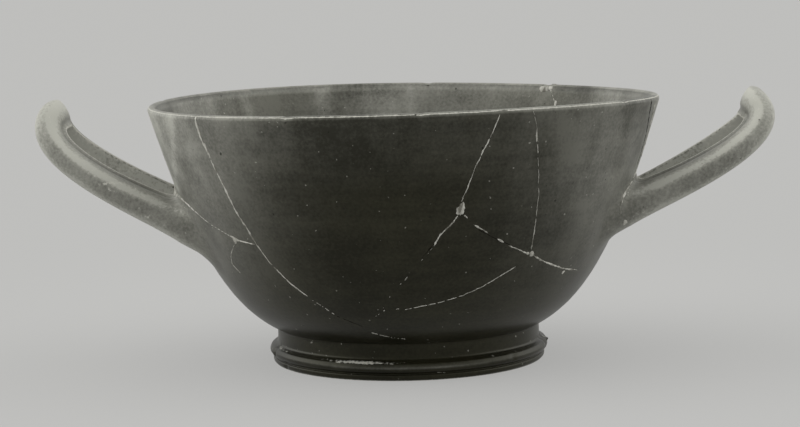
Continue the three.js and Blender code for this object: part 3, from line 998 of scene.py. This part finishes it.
PLASTER = {"light": (0.62, 0.61, 0.56, 1), "dark": (0.36, 0.355, 0.315, 1)}
GRIME_COLOUR = (0.17, 0.165, 0.14, 1)
PLASTER_TURNS = (0.35, 0.65)     # where the pattern turns it from dark to light
GRIME_CLEARS = (0.36, 0.52)      # and from grimy to clean
OPEN_COLOUR = (0.008, 0.007, 0.004, 1)
MEND = {"Step": 0.3 * MM, "Wander": 0.5 * MM, "Ragged": 0.17 * MM,
        "Rise": 0.14 * MM, "Sink": 0.3 * MM}
OPEN = {**MEND, "Wander": 0.35 * MM, "Rise": 0.05 * MM}
UNEVEN = {                       # fineness of each unevenness of a join, and its own seed
    "sway": (330.0, 0.0), "jitter": (1100.0, 3.0), "gaps": (800.0, 11.0),
    "swell": (700.0, 23.0), "edge": (1600.0, 31.0),
}
JITTER = 0.6                     # fine wandering of a join, as a share of the broad
HELD = (0.3, 0.7)                # the noise that gaps are read from runs from here to here
SWELL = (0.34, 0.66)             # and so does the noise that the width is read from
WIDTH = (0.4, 1.25)              # least share of the width, and how much it swells by
TAPER = (0.05, 14.0)             # thickness at a loose end, and how quickly it grows
SEAM_SIDES = 10
PATCH_RISE = 0.2 * MM
PATCH_DEPTH = 0.6 * MM
PATCH_WAVES = ((2, 0.16), (3, 0.13), (7, 0.07), (11, 0.05))   # waves round its edge, and depth
# Each join has the share of it that still holds plaster, and points of bearing (degrees,
# the front at -90), height and half width (mm), and how far outside the wall the point is
# where the join crosses the clay of a handle.
JOINS = (
    (0.98, ((-136.6, 82.2, 0.45), (-137, 79, 0.6), (-136.8, 75, 0.45), (-135.8, 70, 0.45),
            (-135, 66, 0.3), (-134, 62, 0.4), (-132, 52, 0.3), (-130, 47.4, 0.45),
            (-128.8, 43.2, 0.35))),
    (0.9, ((-128.8, 43.2, 0.24), (-126.4, 38, 0.16), (-122, 31.7, 0.2), (-117.7, 27.7, 0.15))),
    (0.6, ((-116.5, 26.5, 0.1), (-113.5, 24.2, 0.16), (-111, 22, 0.1))),
    (0.6, ((-100.6, 15.8, 0.1), (-97, 14.8, 0.09), (-94, 14, 0.08), (-89, 13.3, 0.07))),
    (1.0, ((-167.6, 56.4, 0.4, 0.7), (-166, 55.2, 0.8, 0.8), (-163, 54.5, 0.4, 0.4),
           (-160.6, 53.8, 0.34, 0.2), (-157, 52.6, 0.3), (-153.4, 51.3, 0.15))),
    (0.75, ((-153, 51.2, 0.11), (-146, 48, 0.08), (-142, 46.5, 0.10), (-138.4, 45.2, 0.16))),
    (0.9, ((-138.4, 45.2, 0.2), (-136.4, 44.2, 0.6), (-134.6, 43.9, 0.25), (-132, 43.6, 0.2),
           (-129.6, 43.2, 0.2))),
    (0.75, ((-137, 43, 0.12), (-140, 40.5, 0.09), (-142.5, 38, 0.15), (-143.5, 35.5, 0.16),
            (-141.5, 33, 0.08))),
    (0.85, ((-68, 81.6, 0.12), (-69, 77, 0.14), (-71, 71, 0.17), (-72.5, 66, 0.12),
            (-74, 60, 0.16), (-75, 56.6, 0.22))),
    (0.9, ((-75.6, 52.6, 0.3), (-76.6, 50.8, 0.2), (-79.6, 47, 0.22), (-81, 43.8, 0.2))),
    (0.3, ((-81, 43.8, 0.10), (-88, 34, 0.08), (-93, 28, 0.08), (-98, 20.5, 0.08))),
    (0.8, ((-74.4, 52.8, 0.25), (-73.2, 51.6, 0.1))),
    (0.95, ((-71.4, 49.4, 0.16), (-69.5, 48.1, 0.26), (-67.7, 46.8, 0.12))),
    (0.95, ((-64.9, 44.8, 0.12), (-64, 44.1, 0.28), (-63, 43.5, 0.12))),
    (0.85, ((-61.6, 42.5, 0.14), (-59, 41.2, 0.24), (-55.4, 39.5, 0.2), (-54, 39.2, 0.7),
            (-52.8, 38.6, 0.4))),
    (0.9, ((-52.6, 38.4, 0.3), (-50, 36.8, 0.24), (-45.5, 35, 0.3), (-40, 33, 0.16),
           (-36, 32, 0.22), (-30, 31, 0.12))),
    (1.0, ((-88.4, 33.3, 0.12), (-87.7, 34.5, 0.16))),
    (0.7, ((-60.5, 82, 0.09), (-59.6, 79, 0.08), (-59, 76.5, 0.08), (-57.5, 67.6, 0.07),
           (-55.6, 57, 0.07))),
    (1.0, ((-59.1, 76.8, 0.14), (-58.9, 75, 0.24), (-58.7, 73, 0.14))),
    (0.85, ((-55.6, 57, 0.07), (-54.7, 46.5, 0.1), (-54.2, 40.5, 0.14))),
    (0.9, ((-57.8, 35.6, 0.07), (-62, 32.9, 0.1), (-66, 30.4, 0.1), (-72, 27.8, 0.09))),
    (0.7, ((-72, 27.8, 0.09), (-78, 26, 0.12), (-84, 24.8, 0.11), (-88.6, 23.9, 0.11))),
    (0.3, ((-90, 24.2, 0.09), (-95, 23.6, 0.08), (-98, 21.6, 0.08), (-100, 20, 0.08))),
    (0.9, ((-14, 81.8, 0.8), (-12, 76, 0.8), (-9.5, 71, 0.7), (-7, 63, 0.6))),
    (0.85, ((-11, 59.5, 0.4), (-13.5, 57.6, 0.3), (-16, 56, 0.24), (-18.5, 54, 0.26),
            (-20, 52, 0.34), (-21, 49.5, 0.24), (-20.5, 47.5, 0.24, 1))),
    (0.7, ((-76.5, 3.4, 0.14), (-74.5, 2.7, 0.12), (-73, 2.2, 0.1))),
    (0.7, ((51.5, 82.2, 0.5), (50.5, 79, 0.24), (49.5, 75, 0.2), (50, 69, 0.16), (54, 61, 0.2),
           (60, 53, 0.14), (72, 45, 0.2), (86, 39, 0.14), (96, 36, 0.18), (104, 33, 0.25))),
    (0.6, ((52, 81, 0.3, -2.8), (50.5, 78.5, 0.12, -2.9), (49, 75.5, 0.2, -2.9))),
    (0.6, ((114, 82.2, 0.3), (115, 77, 0.14), (117, 70, 0.2), (114, 60, 0.12), (109, 46, 0.16),
           (104, 33, 0.3), (96, 22, 0.12))),
)
# A join that was never filled shows as a dark line.
OPEN_JOINS = (
    (1.0, ((-18.5, 82, 0.45), (-16, 76, 0.5), (-13, 71, 0.45), (-11, 64, 0.4), (-12, 61, 0.4))),
    (0.6, ((-76.6, 50.6, 0.12), (-79, 47.6, 0.1), (-82, 43, 0.14), (-84, 40, 0.08))),
    (0.8, ((-110.5, 21.4, 0.1), (-107, 19.8, 0.12), (-103, 18, 0.08))),
    (0.8, ((-70.5, 48.2, 0.1), (-66, 45.2, 0.12), (-61, 42.6, 0.1))),
)
# Bearing, height, half width and half height of each fill, and how far outside the wall.
PATCHES = (
    (-75, 54.4, 1.15, 1.9, 0), (-53.6, 39, 0.8, 0.7, 0), (-38, 31.4, 0.6, 0.5, 0),
    (-167, 55.8, 2.6, 1.6, 1), (-136.9, 43.8, 0.7, 1.1, 0), (-20.7, 44.3, 1.1, 0.8, 5),
    (104, 33, 1.6, 1.3, 0), (54, 61, 0.9, 1, 0), (53, 80.7, 2.6, 1.2, -2.8),
    (51, 82.4, 1, 0.7, -1.4), (49, 75.5, 0.6, 1.1, -2.9),
)


def join_tree():
    """Fills a line with plaster: it wanders, breaks off in gaps, and lies on the wall."""
    tree, given, result = new_tree("plaster_in_a_join", "GeometryNodeTree", {
        "Line": "Geometry", "Cup": "Object", "Step": "Float", "Wander": "Float",
        "Ragged": "Float", "Rise": "Float", "Sink": "Float", "Seed": "Float",
        "Material": "Material",
    }, {"Geometry": "Geometry"})

    def scatter(label):
        """Even noise in space, as a vector about zero and as a number from 0 to 1."""
        fineness, shift = UNEVEN[label]
        seed = math_node(tree, "ADD", given["Seed"], shift)
        made = add(tree, "ShaderNodeTexNoise", {"W": seed, "Scale": fineness, "Detail": 2.0},
                   noise_dimensions="4D")
        return vector_node(tree, "SUBTRACT", made.outputs[1], (0.5, 0.5, 0.5)), made.outputs[0]

    def stored(label):
        """The number kept on each point under this name."""
        return add(tree, "GeometryNodeInputNamedAttribute", {"Name": label}).outputs[0]

    wall = add(tree, "GeometryNodeObjectInfo", {0: given["Cup"]}, transform_space="RELATIVE")
    wall = wall.outputs["Geometry"]
    facing = add(tree, "GeometryNodeSampleNearestSurface", {"Mesh": wall}, data_type="FLOAT_VECTOR")
    tree.links.new(add(tree, "GeometryNodeInputNormal").outputs[0], facing.inputs["Value"])
    outwards = facing.outputs[0]

    line = add(tree, "GeometryNodeMeshToCurve", {0: given["Line"]}).outputs[0]
    line = add(tree, "GeometryNodeResampleCurve", {
        "Curve": line, "Length": given["Step"],
    }, mode="LENGTH").outputs[0]
    broad, _ = scatter("sway")
    fine, _ = scatter("jitter")
    sway = vector_node(tree, "ADD", broad, vector_node(tree, "SCALE", fine, JITTER))
    line = add(tree, "GeometryNodeSetPosition", {
        "Geometry": line, "Offset": vector_node(tree, "SCALE", sway, given["Wander"]),
    }).outputs[0]
    edges = add(tree, "GeometryNodeCurveToMesh", {"Curve": line}).outputs[0]
    _, gap = scatter("gaps")
    lost = math_node(tree, "GREATER_THAN", between(tree, gap, *HELD), stored("held"))
    edges = add(tree, "GeometryNodeDeleteGeometry", {0: edges, 1: lost}, domain="EDGE").outputs[0]
    line = add(tree, "GeometryNodeMeshToCurve", {0: edges}).outputs[0]
    line = add(tree, "GeometryNodeSetCurveNormal", {
        "Curve": line, "Normal": outwards,
    }, mode="FREE").outputs[0]

    section = add(tree, "GeometryNodeCurvePrimitiveCircle", {
        "Resolution": SEAM_SIDES, "Radius": 1.0,
    }).outputs[0]
    place = add(tree, "GeometryNodeInputPosition").outputs[0]
    section = add(tree, "GeometryNodeStoreNamedAttribute", {
        "Geometry": section, "Name": "lift",
        "Value": add(tree, "ShaderNodeSeparateXYZ", {0: place}).outputs["X"],
    }, data_type="FLOAT", domain="POINT").outputs[0]
    along = add(tree, "GeometryNodeSplineParameter").outputs["Factor"]
    taper = math_node(tree, "MULTIPLY", along, math_node(tree, "SUBTRACT", 1.0, along))
    taper = math_node(tree, "ADD", math_node(tree, "MULTIPLY", taper, TAPER[1]), TAPER[0])
    taper = math_node(tree, "POWER", math_node(tree, "MINIMUM", taper, 1.0), 0.5)
    _, swell = scatter("swell")
    swell = math_node(tree, "MULTIPLY", between(tree, swell, *SWELL), WIDTH[1])
    swell = math_node(tree, "ADD", WIDTH[0], swell)
    width = math_node(tree, "MULTIPLY", stored("width"), swell)
    strip = add(tree, "GeometryNodeCurveToMesh", {
        "Curve": line, "Profile Curve": section, "Fill Caps": True,
        "Scale": math_node(tree, "MULTIPLY", width, taper),
    }).outputs[0]

    rough_edge, _ = scatter("edge")
    strip = add(tree, "GeometryNodeSetPosition", {
        "Geometry": strip, "Offset": vector_node(tree, "SCALE", rough_edge, given["Ragged"]),
    }).outputs[0]
    on_wall = add(tree, "GeometryNodeProximity", {0: wall}, target_element="FACES")
    lift = stored("lift")
    above = math_node(tree, "MULTIPLY", math_node(tree, "MAXIMUM", lift, 0.0), given["Rise"])
    below = math_node(tree, "MULTIPLY", math_node(tree, "MINIMUM", lift, 0.0), given["Sink"])
    proud = vector_node(tree, "SCALE", outwards, math_node(tree, "ADD", above, below))
    strip = add(tree, "GeometryNodeSetPosition", {
        "Geometry": strip, "Position": vector_node(tree, "ADD", on_wall.outputs["Position"], proud),
    }).outputs[0]
    finish_tree(tree, strip, given, result)
    return tree


def wall_lines(name, lines):
    """One object with every line, each point at its bearing and height on the wall."""
    points, edges, widths, held = [], [], [], []
    for share, line in lines:
        edges += [(len(points) + i, len(points) + i + 1) for i in range(len(line) - 1)]
        for bearing, height, width, *proud in line:
            radius = outer_radius(height * MM) + sum(proud) * MM
            angle = math.radians(bearing)
            points.append((radius * math.cos(angle), radius * math.sin(angle), height * MM))
            widths.append(width * MM)
            held.append(share)
    return line_object(name, points, edges, width=widths, held=held)


plaster = bpy.data.materials.new("pale_plaster")
plaster.use_nodes = True
nodes = plaster.node_tree
skin = nodes.nodes["Principled BSDF"].inputs
skin["Roughness"].default_value = 0.9
skin["Specular IOR Level"].default_value = 0.25
pattern = add(nodes, "ShaderNodeGroup", {
    "Cloud Scale": 160.0, "Band Scale": 300.0, "Grain Scale": 2600.0,
}, node_tree=streaks).outputs
shade = between(nodes, pattern["Clouds"], *PLASTER_TURNS)
colour = mix_colour(nodes, shade, PLASTER["dark"], PLASTER["light"])
clean = between(nodes, pattern["Drips"], *GRIME_CLEARS)
nodes.links.new(mix_colour(nodes, clean, GRIME_COLOUR, colour), skin["Base Color"])
relief = add(nodes, "ShaderNodeBump", {
    "Strength": 0.5, "Distance": 0.05 * MM, "Height": pattern["Grain"],
})
nodes.links.new(relief.outputs[0], skin["Normal"])

joining = join_tree()
mends = grown(
    "plaster_mends", wall_lines("join_lines", JOINS), joining, Cup=cup, Seed=2.0,
    Material=plaster, **MEND)


def add_patch(work, wall, bearing, height, half_width, half_height, proud):
    """A flat ragged lump of plaster let into the wall."""
    made = bmesh.ops.create_icosphere(work, subdivisions=4, radius=1.0)
    for vert in made["verts"]:
        across, up, out = vert.co
        turn = math.atan2(up, across)
        shifts = (bearing, height, bearing, 0)
        ragged = 1 + sum(depth * math.sin(waves * turn + shift)
                         for (waves, depth), shift in zip(PATCH_WAVES, shifts))
        level = (height + up * half_height * ragged) * MM
        radius = outer_radius(level) + proud * MM
        angle = math.radians(bearing) + across * half_width * ragged * MM / radius
        place, away, _, _ = wall.find_nearest(
            Vector((radius * math.cos(angle), radius * math.sin(angle), level)))
        vert.co = place + away * out * (PATCH_RISE if out > 0 else PATCH_DEPTH)


work = bmesh.new()
work.from_mesh(mends.data)
finished_wall = surface_tree(cup)
for patch in PATCHES:
    add_patch(work, finished_wall, *patch)
for face in work.faces:
    face.smooth = True
work.to_mesh(mends.data)
work.free()
face_outwards(mends.data)
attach(mends, "root")

dark_join = bpy.data.materials.new("open_join")
dark_join.use_nodes = True
hollow = dark_join.node_tree.nodes["Principled BSDF"].inputs
hollow["Base Color"].default_value = OPEN_COLOUR
hollow["Roughness"].default_value = 0.9
hollow["Specular IOR Level"].default_value = 0.1
joins = grown(
    "open_joins", wall_lines("open_join_lines", OPEN_JOINS), joining, Cup=cup, Seed=7.0,
    Material=dark_join, **OPEN)
face_outwards(joins.data)
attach(joins, "root")

# ---------------------------------------------------------------- table, light and camera
# The cup stands on a pale seamless ground of opal sheet, lit from beneath and a little
# brighter in the middle. Broad soft light comes from both sides, stronger from the left,
# and the room in front of it is dark.

FLOOR_RADIUS = 13.0
FLOOR_SIDES = 96
FLOOR_COLOUR = (0.17, 0.17, 0.168, 1)
FLOOR_GLOW = 0.286               # it is lit from beneath, so shadows on it are faint
MIDDLE_GLOW = 0.05               # how much brighter it is under the cup
MIDDLE_REACH = 0.17              # and how far out that goes
ROOM_COLOUR = (1.0, 0.998, 0.98, 1)
ROOM_SEEN = 0.515                # what the camera sees of it, as bright as the far ground
ROOM_DARK = 0.36                 # light from all round, besides the soft glows
ROOM_LIGHTS = (                  # direction, tightness and strength of each soft glow
    ((-0.95, 0.0, 0.30), 5.0, 2.7),
    ((0.95, 0.1, 0.30), 5.0, 1.9),
    ((0, 0.1, 1), 1.5, 0.95),
)
LENS = 97.35
CAMERA_DISTANCE = 0.680
CAMERA_HEIGHT = 0.124
CAMERA_TURN = math.radians(2.284)
CAMERA_PAN = math.radians(2.438)
CAMERA_DOWN = math.radians(6.574)
CAMERA_ROLL = math.radians(-1.365)
FAR_END = 30                     # the camera sees this far

floor_mesh = bpy.data.meshes.new("ground")
edge = [(FLOOR_RADIUS * math.cos(angle), FLOOR_RADIUS * math.sin(angle), 0)
        for angle in np.linspace(0, 2 * math.pi, FLOOR_SIDES + 1)[:-1]]
floor_mesh.from_pydata(edge, [], [tuple(range(FLOOR_SIDES))])
ground = placed("ground", floor_mesh)
sheet = bpy.data.materials.new("pale_ground")
sheet.use_nodes = True
nodes = sheet.node_tree
surface = nodes.nodes["Principled BSDF"].inputs
surface["Base Color"].default_value = FLOOR_COLOUR
surface["Roughness"].default_value = 1.0
surface["Specular IOR Level"].default_value = 0.0
surface["Emission Color"].default_value = ROOM_COLOUR
place = add(nodes, "ShaderNodeTexCoord").outputs["Object"]
away = vector_node(nodes, "LENGTH", place, result="Value")
away = math_node(nodes, "DIVIDE", away, MIDDLE_REACH)
fall = math_node(nodes, "MULTIPLY", math_node(nodes, "MULTIPLY", away, away), -1.0)
lit = math_node(nodes, "MULTIPLY", math_node(nodes, "POWER", math.e, fall), MIDDLE_GLOW)
nodes.links.new(math_node(nodes, "ADD", lit, FLOOR_GLOW), surface["Emission Strength"])
floor_mesh.materials.append(sheet)

world = bpy.data.worlds.new("room")
scene.world = world
world.use_nodes = True
room = world.node_tree
facing = add(room, "ShaderNodeTexCoord").outputs["Generated"]


def glow(direction, tightness, strength):
    """Light from a broad soft source in one direction, fading away from its middle."""
    middle = Vector(direction).normalized()
    toward = vector_node(room, "DOT_PRODUCT", facing, middle, result="Value")
    lobe = math_node(room, "POWER", math_node(room, "MAXIMUM", toward, 0.0), tightness)
    return math_node(room, "MULTIPLY", lobe, strength)


light = ROOM_DARK
for source in ROOM_LIGHTS:
    light = math_node(room, "ADD", light, glow(*source))
level = add(room, "ShaderNodeMix", {
    "Factor": add(room, "ShaderNodeLightPath").outputs["Is Camera Ray"],
    "A": light, "B": ROOM_SEEN,
}, data_type="FLOAT").outputs[0]
background = room.nodes["Background"].inputs
background["Color"].default_value = ROOM_COLOUR
room.links.new(level, background["Strength"])

camera = bpy.data.objects.new("camera", bpy.data.cameras.new("camera"))
camera.data.lens = LENS
camera.data.clip_end = FAR_END
camera.matrix_world = (
    Matrix.Translation((
        CAMERA_DISTANCE * math.sin(CAMERA_TURN),
        -CAMERA_DISTANCE * math.cos(CAMERA_TURN), CAMERA_HEIGHT))
    @ Matrix.Rotation(CAMERA_PAN, 4, "Z")
    @ Matrix.Rotation(math.pi / 2 - CAMERA_DOWN, 4, "X")
    @ Matrix.Rotation(CAMERA_ROLL, 4, "Z")
)
scene.collection.objects.link(camera)
scene.camera = camera
scene.view_settings.view_transform = "Standard"
